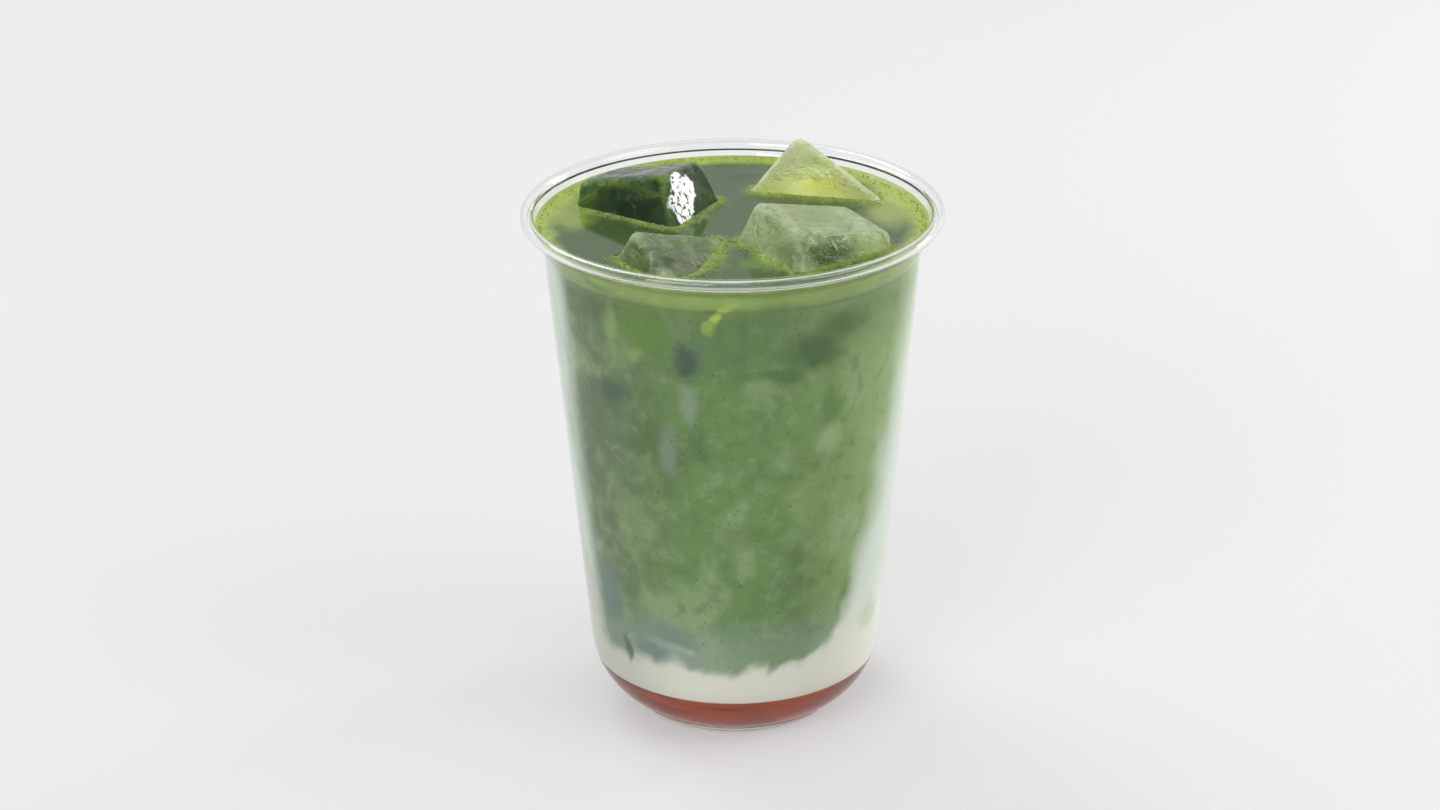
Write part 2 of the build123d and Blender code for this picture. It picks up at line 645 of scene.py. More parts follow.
    def milk_share(self, shader: Shader, place: object) -> object:
        """Return how far a point lies in the milk, from 0 to 1, with wisps where it meets the matcha.

        Args:
            shader: the material in the making.
            place: the point.

        Returns:
            The share of milk.
        """
        swirled = shader.warped(place, 45, 0.0035)
        x, y, z = shader.axes(swirled)
        on_right = shader.math("MAXIMUM", shader.math("SUBTRACT", x, 0.0205), 0.0)
        on_left = shader.math("MAXIMUM", shader.math("SUBTRACT", shader.math("MULTIPLY", x, -1.0), 0.0296), 0.0)
        rise = shader.math("ADD", self.climb(shader, on_right, 4.2), self.climb(shader, on_left, 6.0))
        wisps = shader.noise(shader.stretched(place, (1, 1, 0.8), (0.02, 0, 0)), 62, 3.0, 0.5, 0.6)
        lift = shader.math("MULTIPLY", shader.math("SUBTRACT", wisps, 0.5), 0.020)
        level = shader.math("ADD", shader.math("ADD", rise, 0.0228), lift)
        below = shader.math("SUBTRACT", level, z)
        soft = shader.math("ADD", 0.0026, shader.math("MULTIPLY", rise, 0.45))
        return shader.ramp(shader.math("DIVIDE", below, soft), -1.0, 0.8)

    def matcha(self, shader: Shader, place: object) -> object:
        """Return the colour of the matcha through the wall: clouds, dim patches over sunk ice, specks, and a pale
        band at the sides that is partly milk film and partly painted light.

        Args:
            shader: the material in the making.
            place: the point.

        Returns:
            The colour.
        """
        x, y, z = shader.axes(place)
        swirled = shader.warped(place, 55, 0.007)
        clouds = shader.noise(shader.stretched(swirled, (1, 1, 0.6), (0.3, 0.1, 0)), 50, 5.0, 0.55, 0.3)
        colour = shader.mix(shader.ramp(x, -0.034, -0.008), self.left, self.middle)
        colour = shader.mix(shader.ramp(x, 0.006, 0.036), colour, self.right)
        colour = shader.mix(shader.ramp(clouds, 0.50, 0.66, 0.0, 0.7), colour, self.pale)
        colour = shader.mix(shader.ramp(clouds, 0.47, 0.33, 0.0, 0.55), colour, self.dark)
        mottle = shader.noise(shader.warped(place, 90, 0.003), 210, 5.0, 0.65)
        colour = shader.mix(shader.ramp(mottle, 0.50, 0.68, 0.0, 0.40), colour, self.pale)
        colour = shader.mix(shader.ramp(mottle, 0.48, 0.32, 0.0, 0.40), colour, self.dark)
        colour = shader.mix(shader.ramp(z, 0.095, 0.112, 0.0, 0.36), colour, self.dark)
        low = shader.ramp(z, 0.040, 0.026, 0.0, 0.45)
        colour = shader.mix(low, colour, self.cold_milk)
        fine = shader.warped(shader.warped(place, 120, 0.0032), 420, 0.0008)
        colour = shader.patched(fine, colour, self.patches)
        bands = shader.noise(shader.stretched(place, (1, 1, 2.2)), 70, 3.0, 0.5, 0.3)
        neck = shader.math("MULTIPLY", shader.ramp(z, 0.1135, 0.1185), shader.ramp(bands, 0.25, 0.6, 0.35, 0.85))
        colour = shader.mix(neck, colour, self.neck)
        # Painted shade: a thin dark line in the drink at the height of the cup's crease, standing in for the line the
        # crease makes.
        crease_shade_line = shader.math("SUBTRACT", 1.0, shader.ramp(
            shader.math("ABSOLUTE", shader.math("SUBTRACT", z, self.surface_height - 0.0047)), 0.0001, 0.0008))
        colour = shader.mix(shader.math("MULTIPLY", crease_shade_line, 0.3), colour, self.dark)
        specks = shader.ramp(shader.cells(place, 360), 0.11, 0.05)
        colour = shader.mix(shader.math("MULTIPLY", specks, 0.65), colour, srgb(46, 68, 30))
        motes = shader.ramp(shader.cells(shader.stretched(place, (1, 1, 1), (0.7, 0.2, 0.4)), 520), 0.09, 0.05)
        colour = shader.mix(shader.math("MULTIPLY", motes, 0.35), colour, srgb(196, 206, 168))
        # The pale band towards the left and right walls is partly milk film and partly painted light, standing in for
        # light bent at the cup's edge.
        share = self.edge_share(shader, x, z)
        ragged = shader.math("ADD", share, shader.math("MULTIPLY", shader.math("SUBTRACT", clouds, 0.5), 0.12))
        ragged = shader.math("SUBTRACT", ragged, shader.ramp(x, 0.0, 0.030, 0.0, 0.030))
        veins = shader.noise(shader.stretched(shader.warped(place, 40, 0.010), (1, 1, 0.40)), 48, 5.0, 0.6)
        film_and_edge_light = shader.math("MULTIPLY", shader.ramp(ragged, 0.83, 0.94), shader.ramp(veins, 0.36, 0.58, 0.48, 1.0))
        greener = shader.ramp(shader.math("ADD", z, shader.math("MULTIPLY", x, 0.4)), 0.098, 0.118)
        return shader.mix(film_and_edge_light, colour, shader.mix(greener, self.film_and_edge_light, self.green_film_and_edge_light))

    def material(self) -> bpy.types.Material:
        """Build the drink's material, one for its milk and its matcha so that they run together.

        Returns:
            The material.
        """
        shader = Shader("swirled_drink")
        place = shader.place()
        x, y, z = shader.axes(place)
        milk = shader.mix(shader.ramp(z, 0.022, 0.040), self.milk, self.side_milk)
        # Painted shade: the milk is painted darker towards the left.
        milk = shader.mix(shader.ramp(x, -0.010, -0.028, 0.0, 0.6), milk, self.shaded_milk)
        skin = shader.mix(self.milk_share(shader, place), self.matcha(shader, place), milk)
        skin = shader.patched(shader.warped(shader.warped(place, 110, 0.0028), 400, 0.0008), skin, self.dips)
        shore_glow = shader.attribute("shore_glow")
        top = shader.attribute("top")
        hollow = shader.attribute("hollow")
        tone = shader.attribute("tone")
        ripple = shader.noise(shader.warped(place, 120, 0.002), 210, 4.0, 0.6)
        # Painted light: the surface glows yellow-green near the wall and the ice, with foam in the glowing band.
        edge = shader.ramp(shader.math("ADD", shore_glow, shader.math("MULTIPLY", shader.math(
            "SUBTRACT", ripple, 0.5), 0.9)), 0.12, 1.15)
        foam = shader.ramp(shader.cells(shader.warped(place, 300, 0.001), 1500), 0.45, 0.15, 0.0, 0.38)
        glow_and_foam_colour = shader.mix(shader.math("MULTIPLY", foam, edge), self.shore_glow, srgb(206, 212, 150))
        calm = shader.patched(shader.warped(place, 110, 0.004), self.pool, self.surface_patches)
        pool = shader.mix(edge, calm, glow_and_foam_colour)
        # Painted light and shade in the hollows under the ice: each block sets how bright its hollow is painted,
        # darker with depth and glowing near the waterline.
        sunk = shader.mix(tone, self.deep, self.bright)
        sunk = shader.mix(shader.math("MULTIPLY", shore_glow, 0.8), sunk, self.shore_glow)
        colour = shader.mix(top, skin, pool)
        colour = shader.mix(hollow, colour, sunk)
        rough = shader.math("ADD", 0.07, shader.math("MULTIPLY", edge, 0.2))
        normal = shader.bump(shader.math("MULTIPLY", foam, edge), 0.0003, 0.5)
        surface = shader.principled(Base_Color=colour, Roughness=rough, IOR=1.34, Normal=normal)
        return shader.finish(surface.outputs[0])


@dataclass(frozen=True)
class Froth:
    """Fine bubbles: clear skins that take the drink's yellow-green."""

    colour: tuple = srgb(196, 206, 128)

    def material(self) -> bpy.types.Material:
        """Build the bubbles' material.

        Returns:
            The material.
        """
        shader = Shader("froth")
        shade = shader.noise(shader.place(), 600, 2.0)
        colour = shader.mix(shade, self.colour, srgb(150, 170, 84))
        surface = shader.principled(
            Base_Color=colour, Roughness=0.08, IOR=1.25, Transmission_Weight=0.6)
        return shader.finish(surface.outputs[0], lamps_pass=True)


# ------------------------------------------------------------------ shapes
def finished(bm: bmesh.types.BMesh, name: str, material: bpy.types.Material,
             nodes: tuple[str, ...]) -> bpy.types.Object:
    """Turn a mesh in the making into a smooth piece of the object.

    Args:
        bm: the mesh, closed, in metres.
        name: name of the piece.
        material: its finish.
        nodes: the solids that it stands for.

    Returns:
        The piece, riding on the root body.
    """
    mesh = bpy.data.meshes.new(name)
    bm.to_mesh(mesh)
    bm.free()
    mesh.polygons.foreach_set("use_smooth", [True] * len(mesh.polygons))
    mesh.materials.clear()
    mesh.materials.append(material)
    piece = bpy.data.objects.new(name, mesh)
    bpy.context.scene.collection.objects.link(piece)
    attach(piece, ROOT)
    if nodes:
        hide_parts(*nodes)
    log.info("%s: %d faces", name, len(mesh.polygons))
    return piece


def turned(profile: list[tuple[float, float]], steps: int) -> bmesh.types.BMesh:
    """Turn an outline of radius and height round the Z axis.

    Args:
        profile: points of radius and height, in metres, in order.
        steps: faces round the axis.

    Returns:
        The turned mesh, its doubles merged and its faces pointing outwards.
    """
    bm = bmesh.new()
    points = [bm.verts.new((radius, 0, height)) for radius, height in profile]
    edges = [bm.edges.new(pair) for pair in zip(points, points[1:])]
    bmesh.ops.spin(bm, geom=points + edges, cent=(0, 0, 0), axis=(0, 0, 1), angle=math.tau,
                   steps=steps, use_merge=True, use_duplicate=False)
    bmesh.ops.remove_doubles(bm, verts=bm.verts, dist=1e-7)
    bmesh.ops.recalc_face_normals(bm, faces=bm.faces)
    return bm


def arc(centre: tuple[float, float], radius: float, start: float, end: float,
        count: int) -> list[tuple[float, float]]:
    """Points on an arc, from one angle to another, in degrees from the outward direction.

    Args:
        centre: radius and height of its centre.
        radius: its radius.
        start: angle at its start.
        end: angle at its end.
        count: how many spans it has.

    Returns:
        The points, in order.
    """
    turns = [math.radians(start + (end - start) * step / count) for step in range(count + 1)]
    return [(centre[0] + radius * math.cos(turn), centre[1] + radius * math.sin(turn)) for turn in turns]


@dataclass
class CupForm:
    """Sizes and outline of the cup, in metres."""

    rim_radius: float
    height: float
    bead: float = 1.45 * MM
    wall: float = 0.6 * MM
    shoulder: tuple = (43.85 * MM, 115.7 * MM)
    neck_bulge: float = 0.25 * MM
    heel: tuple = (34.7 * MM, 16.4 * MM)
    foot_radius: float = 24.7 * MM
    foot_height: float = 1.6 * MM
    recess_radius: float = 21.6 * MM
    recess_height: float = 1.0 * MM
    steps: int = 168

    @property
    def slope(self) -> float:
        """How much the wall's radius grows with height."""
        return (self.shoulder[0] - self.heel[0]) / (self.shoulder[1] - self.heel[1])

    @property
    def bead_middle(self) -> tuple[float, float]:
        """Centre of the rolled rim's section."""
        return (self.rim_radius - self.bead, self.height - self.bead)

    def wall_radius(self, z: float, inset: float) -> float:
        """Radius of the wall or the neck at a height, inset from the outside of the sheet.

        Args:
            z: the height.
            inset: how far into the sheet.

        Returns:
            The radius.
        """
        shift = inset * math.hypot(1, self.slope)
        if z <= self.heel[1]:
            middle, radius = self.heel_arc(inset)
            drop = min(abs(z - middle[1]), radius)
            return middle[0] + math.sqrt(radius ** 2 - drop ** 2)
        if z <= self.shoulder[1]:
            return self.heel[0] + self.slope * (z - self.heel[1]) - shift
        low, _, high = self.neck(inset)
        share = (z - low[1]) / (high[1] - low[1])
        return low[0] + (high[0] - low[0]) * share + self.neck_bulge * 4 * share * (1 - share)

    def neck(self, inset: float) -> tuple:
        """Start, middle and end of the neck, inset from the outside of the sheet.

        Args:
            inset: how far into the sheet.

        Returns:
            Three points of radius and height.
        """
        low = (self.shoulder[0] - inset * math.hypot(1, self.slope), self.shoulder[1])
        high = (self.bead_middle[0] - self.bead + self.wall - inset, self.bead_middle[1])
        middle = ((low[0] + high[0]) / 2 + self.neck_bulge, (low[1] + high[1]) / 2)
        return low, middle, high

    def heel_arc(self, inset: float) -> tuple[tuple[float, float], float]:
        """Centre and radius of the rounded heel, inset from the outside of the sheet.

        Args:
            inset: how far into the sheet.

        Returns:
            The centre, as radius and height, and the radius.
        """
        lean = math.hypot(1, self.slope)
        start = Vector((self.heel[0] - inset * lean, self.heel[1]))
        end = Vector((self.foot_radius - inset, self.foot_height if inset == 0 else self.floor))
        inward = Vector((-1, self.slope)) / lean
        span = end - start
        radius = span.length_squared / (2 * inward.dot(span))
        middle = start + inward * radius
        return (middle.x, middle.y), radius

    @property
    def floor(self) -> float:
        """Height of the cup's floor inside."""
        return self.recess_height + self.wall

    def side(self, inset: float, low: float, high: float, count: int) -> list[tuple[float, float]]:
        """Points up the wall from one height to another, inset from the outside."""
        heights = [low + (high - low) * step / count for step in range(count + 1)]
        return [(self.wall_radius(z, inset), z) for z in heights]

    def outline(self) -> list[tuple[float, float]]:
        """Closed outline of the sheet, from under the floor, up the outside and down the inside.

        Returns:
            The points of radius and height, in order.
        """
        foot_edge = 0.5 * MM
        under = [(0, self.recess_height), (self.recess_radius - foot_edge, self.recess_height)]
        under += [(self.recess_radius, self.recess_height - foot_edge), (self.recess_radius, 0)]
        under += arc((self.foot_radius - foot_edge, foot_edge), foot_edge, -90, 0, 4)
        outside = self.side(0, self.foot_height, self.heel[1], 26)
        outside += self.side(0, self.heel[1], self.shoulder[1], 30)[1:]
        outside += self.side(0, self.shoulder[1], self.bead_middle[1], 8)[1:]
        curl = arc(self.bead_middle, self.bead - self.wall, 180, -110, 26)[1:]
        curl += arc(self.bead_middle, self.bead, -110, 180, 34)
        inside = self.side(self.wall, self.bead_middle[1], self.shoulder[1], 8)[1:]
        inside += self.side(self.wall, self.shoulder[1], self.heel[1], 30)[1:]
        inside += self.side(self.wall, self.heel[1], self.floor, 26)[1:]
        return under + outside + curl + inside + [(0, self.floor)]


class Cup:
    """The clear cup, from its foot to its rolled rim."""

    def __init__(self, form: CupForm) -> None:
        """Keep the cup's form."""
        self.form = form

    def build(self) -> bpy.types.Object:
        """Turn the sheet's outline and dress it."""
        bm = turned(self.form.outline(), self.form.steps)
        return finished(bm, "cup_sheet", ClearSheet().material(), ("cup",))


@dataclass
class IceBlock:
    """One ice block: its solid, worn by melting, and its finish."""

    node: str
    finish: Ice
    # How bright the drink's hollow round this block is painted: painted light, and painted shade where low.
    tone: float
    wear: float = 0.35 * MM
    grain: float = 0.55 * MM
    broad_lumps: float = 110
    small_lumps: float = 420

    def shape(self) -> bmesh.types.BMesh:
        """Wear the solid block down unevenly, as it melts, without growing past it.

        Returns:
            The worn block.
        """
        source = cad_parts[self.node].data.copy()
        bm = bmesh.new()
        bm.from_mesh(source)
        bmesh.ops.remove_doubles(bm, verts=bm.verts, dist=1e-6)
        bm.to_mesh(source)
        bm.free()
        holder = bpy.data.objects.new(self.node + "_block", source)
        bpy.context.scene.collection.objects.link(holder)
        remesh = holder.modifiers.new("even_faces", "REMESH")
        remesh.mode = "VOXEL"
        remesh.voxel_size = self.grain
        graph = bpy.context.evaluated_depsgraph_get()
        bm = bmesh.new()
        bm.from_mesh(bpy.data.meshes.new_from_object(holder.evaluated_get(graph)))
        bpy.data.objects.remove(holder)
        bmesh.ops.smooth_vert(bm, verts=bm.verts, factor=0.5, use_axis_x=True, use_axis_y=True, use_axis_z=True)
        seed = Vector((self.finish.seed, 0, self.finish.seed))
        for vert in bm.verts:
            broad = noise.noise((vert.co + seed) * self.broad_lumps)
            small = noise.noise((vert.co + seed) * self.small_lumps)
            vert.co -= vert.normal * self.wear * (0.5 + 0.5 * broad + 0.16 * small)
        bm.verts.index_update()
        bm.normal_update()
        self.mark_edges(bm)
        return bm

    def mark_edges(self, bm: bmesh.types.BMesh) -> None:
        """Mark how near each point lies to a rounded edge, where the block's surface bends; the mark places the
        painted edge highlight.

        Args:
            bm: the worn block.
        """
        edge = bm.verts.layers.float.new("edge")
        bends = {}
        for vert in bm.verts:
            around = [link.other_vert(vert).co for link in vert.link_edges]
            middle = sum(around, Vector()) / len(around)
            bends[vert.index] = max(0.0, (vert.co - middle).dot(vert.normal))
        for _ in range(3):
            bends = {vert.index: (bends[vert.index] + sum(
                bends[link.other_vert(vert).index] for link in vert.link_edges)) / (1 + len(vert.link_edges))
                for vert in bm.verts}
        sharpest = sorted(bends.values())[int(len(bends) * 0.97)]
        for vert in bm.verts:
            vert[edge] = min(1.0, max(0.0, bends[vert.index] / sharpest * 1.8 - 0.9))

    def build(self) -> bpy.types.Object:
        """Build the block and dress it."""
        return finished(self.shape(), self.node + "_melting", self.finish.material(), (self.node,))


@dataclass
class DrinkForm:
    """Levels of the drink's layers, in metres."""

    cup: CupForm
    syrup_top: float
    fill: float
    milk_height: float = 23.0 * MM
    milk_rise: float = 38.0 * MM
    milk_ripple: float = 1.3 * MM
    milk_wave: float = 19.0 * MM
    meniscus: float = 1.1 * MM
    meniscus_reach: float = 1.3 * MM
    # Width of the painted glow along the wall.
    shore_glow: float = 4.6 * MM
    ice_creep: float = 0.7 * MM
    ice_glow: float = 2.0 * MM
    hollow_depth: float = 30 * MM
    overlap: float = 0.12 * MM
    steps: int = 144

    def creep(self, distance: float) -> float:
        """How much higher the drink stands at a distance from the ice."""
        return self.ice_creep * math.exp(-distance / self.ice_creep)

    @property
    def inset(self) -> float:
        """How far into the sheet the drink reaches, from the outside."""
        return self.cup.wall * 0.55

    def milk_level(self, x: float, y: float) -> float:
        """Height of the milk's top at a place.

        Args:
            x: place across.
            y: place from front to back.

        Returns:
            The height.
        """
        rise = self.milk_rise * (x / self.cup.shoulder[0]) ** 4
        wave = math.sin(math.tau * x / self.milk_wave) * math.cos(math.pi * y / self.milk_wave)
        return self.milk_height + rise + self.milk_ripple * wave

    def surface(self, x: float, y: float) -> float:
        """Height of the drink's surface, which creeps up the wall at its edge.

        Args:
            x: place across.
            y: place from front to back.

        Returns:
            The height.
        """
        edge = self.cup.wall_radius(self.fill, self.inset)
        gap = max(0.0, edge - math.hypot(x, y))
        return self.fill + self.meniscus * math.exp(-gap / self.meniscus_reach)

    def layer(self, bottom: Callable[[float, float], float], top: Callable[[float, float], float],
              rings: int, rows: int) -> bmesh.types.BMesh:
        """Build one layer between two levels, filled to the wall.

        Args:
            bottom: height of its underside at a place.
            top: height of its upper side at a place.
            rings: rings across each level.
            rows: rows up the wall.

        Returns:
            The closed layer.
        """
        spread = [1 - (1 - step / rings) ** 1.35 for step in range(rings + 1)]
        under = [(share, 0.0) for share in spread]
        side = [(1.0, step / rows) for step in range(1, rows)]
        over = [(share, 1.0) for share in reversed(spread)]
        bm = turned(under + side + over, self.steps)
        bm.normal_update()
        for vert in bm.verts:
            share = math.hypot(vert.co.x, vert.co.y)
            turn = math.atan2(vert.co.y, vert.co.x)
            part = vert.co.z
            radius = self.cup.wall_radius(self.fill if part == 1.0 else self.milk_height, self.inset)
            for _ in range(10):
                x, y = share * radius * math.cos(turn), share * radius * math.sin(turn)
                low, high = bottom(x, y), top(x, y)
                z = low + (high - low) * part
                radius = self.cup.wall_radius(min(z, self.cup.bead_middle[1]), self.inset)
            vert.co = (x, y, z)
        bm.normal_update()
        for edge in bm.edges:
            faces = edge.link_faces
            if len(faces) == 2 and faces[0].normal.angle(faces[1].normal, 0.0) > math.radians(40):
                edge.smooth = False
        return bm


class Contents:
    """Syrup, milk and matcha, with the hollows that the ice sits in."""

    def __init__(self, form: DrinkForm, ice: list[tuple[IceBlock, bpy.types.Object]]) -> None:
        """Keep the drink's levels and the ice blocks that break its surface.

        Args:
            form: the drink's levels.
            ice: each block with its finished piece.
        """
        self.form = form
        self.ice = ice
        self.trees = [(block, self.tree_of(piece)) for block, piece in ice]

    @staticmethod
    def tree_of(piece: bpy.types.Object) -> BVHTree:
        """Return a search tree over a piece's mesh.

        Args:
            piece: the piece.

        Returns:
            The tree.
        """
        bm = bmesh.new()
        bm.from_mesh(piece.data)
        tree = BVHTree.FromBMesh(bm)
        bm.free()
        return tree

    def syrup(self) -> bpy.types.Object:
        """Build the syrup, from the cup's floor to the milk.

        Returns:
            The finished piece.
        """
        cup = self.form.cup
        lift = 0.02 * MM
        low = cup.floor - cup.wall * 0.4
        edge = cup.wall_radius(low + lift, self.form.inset)
        base = [(0, low), (edge * 0.5, low), (edge - 0.3 * MM, low)]
        side = cup.side(self.form.inset, low + lift, self.form.syrup_top, 24)
        profile = base + side + [(side[-1][0] * 0.6, self.form.syrup_top), (0, self.form.syrup_top)]
        bm = turned(profile, self.form.steps)
        return finished(bm, "syrup_layer", Syrup().material(), ("syrup",))

    def milk(self, finish: bpy.types.Material) -> bpy.types.Object:
        """Build the milk, from the syrup to its waved top.

        Args:
            finish: the swirled drink's material.

        Returns:
            The finished piece.
        """
        low = self.form.syrup_top - 0.03 * MM
        bm = self.form.layer(lambda x, y: low, self.form.milk_level, 14, 16)
        return finished(bm, "milk_layer", finish, ("milk",))

    def matcha(self, finish: bpy.types.Material) -> bpy.types.Object:
        """Build the matcha, cut round the ice, and paint its edges.

        Args:
            finish: the swirled drink's material.

        Returns:
            The finished piece.
        """
        bm = self.form.layer(self.form.milk_level, self.form.surface, 46, 60)
        mesh = bpy.data.meshes.new("matcha_block")
        bm.to_mesh(mesh)
        bm.free()
        holder = bpy.data.objects.new("matcha_block", mesh)
        bpy.context.scene.collection.objects.link(holder)
        for _, piece in self.ice:
            cut = holder.modifiers.new("hollow", "BOOLEAN")
            cut.operation = "DIFFERENCE"
            cut.solver = "EXACT"
            cut.object = self.cutter(piece)
        graph = bpy.context.evaluated_depsgraph_get()
        bm = bmesh.new()
        bm.from_mesh(bpy.data.meshes.new_from_object(holder.evaluated_get(graph)))
        for modifier in holder.modifiers:
            bpy.data.objects.remove(modifier.object)
        bpy.data.objects.remove(holder)
        bmesh.ops.remove_doubles(bm, verts=bm.verts, dist=1e-6)
        self.paint(bm)
        return finished(bm, "matcha_drink", finish, ("matcha",))

    def cutter(self, piece: bpy.types.Object) -> bpy.types.Object:
        """Return a copy of an ice block, a hair smaller, so that the ice reaches into the drink.

        Args:
            piece: the ice block.

        Returns:
            The smaller copy.
        """
        bm = bmesh.new()
        bm.from_mesh(piece.data)
        bm.normal_update()
        for vert in bm.verts:
            vert.co -= vert.normal * self.form.overlap
        mesh = bpy.data.meshes.new("hollow_shape")
        bm.to_mesh(mesh)
        bm.free()
        shape = bpy.data.objects.new("hollow_shape", mesh)
        bpy.context.scene.collection.objects.link(shape)
        return shape

    def nearest(self, point: Vector) -> tuple[float, Optional[IceBlock]]:
        """Return the distance to the nearest ice block, and the block.

        Args:
            point: the place that is tested.

        Returns:
            The distance in metres, and the block.
        """
        best, owner = 1.0, None
        for block, tree in self.trees:
            found = tree.find_nearest(point, best)
            if found[0] is not None and found[3] < best:
                best, owner = found[3], block
        return best, owner

    def paint(self, bm: bmesh.types.BMesh) -> None:
        """Raise the drink against the ice and mark its surface, its hollows with their painted light and shade, and
        the painted glow at its edges.

        Args:
            bm: the matcha, already cut round the ice.
        """
        shore_glow = bm.verts.layers.float.new("shore_glow")
        top = bm.verts.layers.float.new("top")
        hollow = bm.verts.layers.float.new("hollow")
        tone = bm.verts.layers.float.new("tone")
        form = self.form
        edge = form.cup.wall_radius(form.fill, form.inset)
        for vert in bm.verts:
            radius = math.hypot(vert.co.x, vert.co.y)
            if vert.co.z < form.fill - form.hollow_depth or radius > edge + 1.5 * MM:
                continue
            distance, owner = self.nearest(vert.co)
            inner = radius < form.cup.wall_radius(min(vert.co.z, form.cup.bead_middle[1]), form.inset) - 0.2 * MM
            level = form.surface(vert.co.x, vert.co.y)
            if vert.co.z >= level - 0.05 * MM:
                # Painted glow: the surface is marked brighter near the wall and the ice.
                turn = math.atan2(vert.co.y, vert.co.x)
                reach = self.form.shore_glow * (1.0 + 0.45 * math.cos(turn) ** 2)
                near_wall = 1.0 - min(1.0, max(0.0, edge - radius) / reach)
                near_ice = math.exp(-distance / form.ice_glow)
                vert[shore_glow] = min(1.0, near_wall * 1.4 + 0.75 * near_ice)
                vert[top] = 1.0
                vert.co.z += form.creep(distance)
            elif inner and distance < 0.6 * MM and owner:
                # Painted shade: the hollow's walls are painted darker with depth.
                depth = level - vert.co.z
                vert[shore_glow] = math.exp(-depth / (1.6 * MM))
                vert[hollow] = 1.0
                vert[tone] = owner.tone * math.exp(-depth / (14 * MM))


@dataclass
class Bubbles:
    """Fine bubbles floating where the drink meets the ice and the wall."""

    form: DrinkForm
    contents: Contents
    count: int = 2600
    smallest: float = 0.08 * MM
    largest: float = 0.36 * MM

    def spots(self) -> list[tuple[Vector, float]]:
        """Return each bubble's place and radius.

        Returns:
            The places and radii, in metres.
        """
        chance = random.Random(11)
        edge = self.form.cup.wall_radius(self.form.fill, self.form.cup.wall)
        found = []
        while len(found) < self.count:
            radius = edge * math.sqrt(chance.random())
            turn = chance.uniform(0, math.tau)
            place = Vector((radius * math.cos(turn), radius * math.sin(turn), self.form.fill))
            distance, owner = self.contents.nearest(place)
            near_wall = math.exp(-(edge - radius) / (0.7 * MM))
            near_ice = math.exp(-distance / (0.8 * MM))
            clump = 0.5 + 0.5 * noise.noise(place * 120)
            if distance < 0.1 * MM or self.inside(place) or chance.random() > max(near_wall, near_ice) * clump:
                continue
            size = self.smallest + (self.largest - self.smallest) * chance.random() ** 2.5
            place.z = self.form.surface(place.x, place.y) + size * 0.3 + self.form.creep(distance)
            if math.hypot(place.x, place.y) + size < edge:
                found.append((place, size))
        return found

    def inside(self, place: Vector) -> bool:
        """True if a place lies inside an ice block.

        Args:
            place: the place that is tested.

        Returns:
            True inside.
        """
        for _, tree in self.contents.trees:
            point, normal, _, _ = tree.find_nearest(place)
            if point is not None and (place - point).dot(normal) < 0:
                return True
        return False

    def build(self) -> bpy.types.Object:
        """Build every bubble in one mesh and dress it.

        Returns:
            The finished piece.
        """
        bm = bmesh.new()
        for place, size in self.spots():
            bmesh.ops.create_icosphere(bm, subdivisions=1, radius=size, matrix=Matrix.Translation(place))
        return finished(bm, "froth_bubbles", Froth().material(), ())


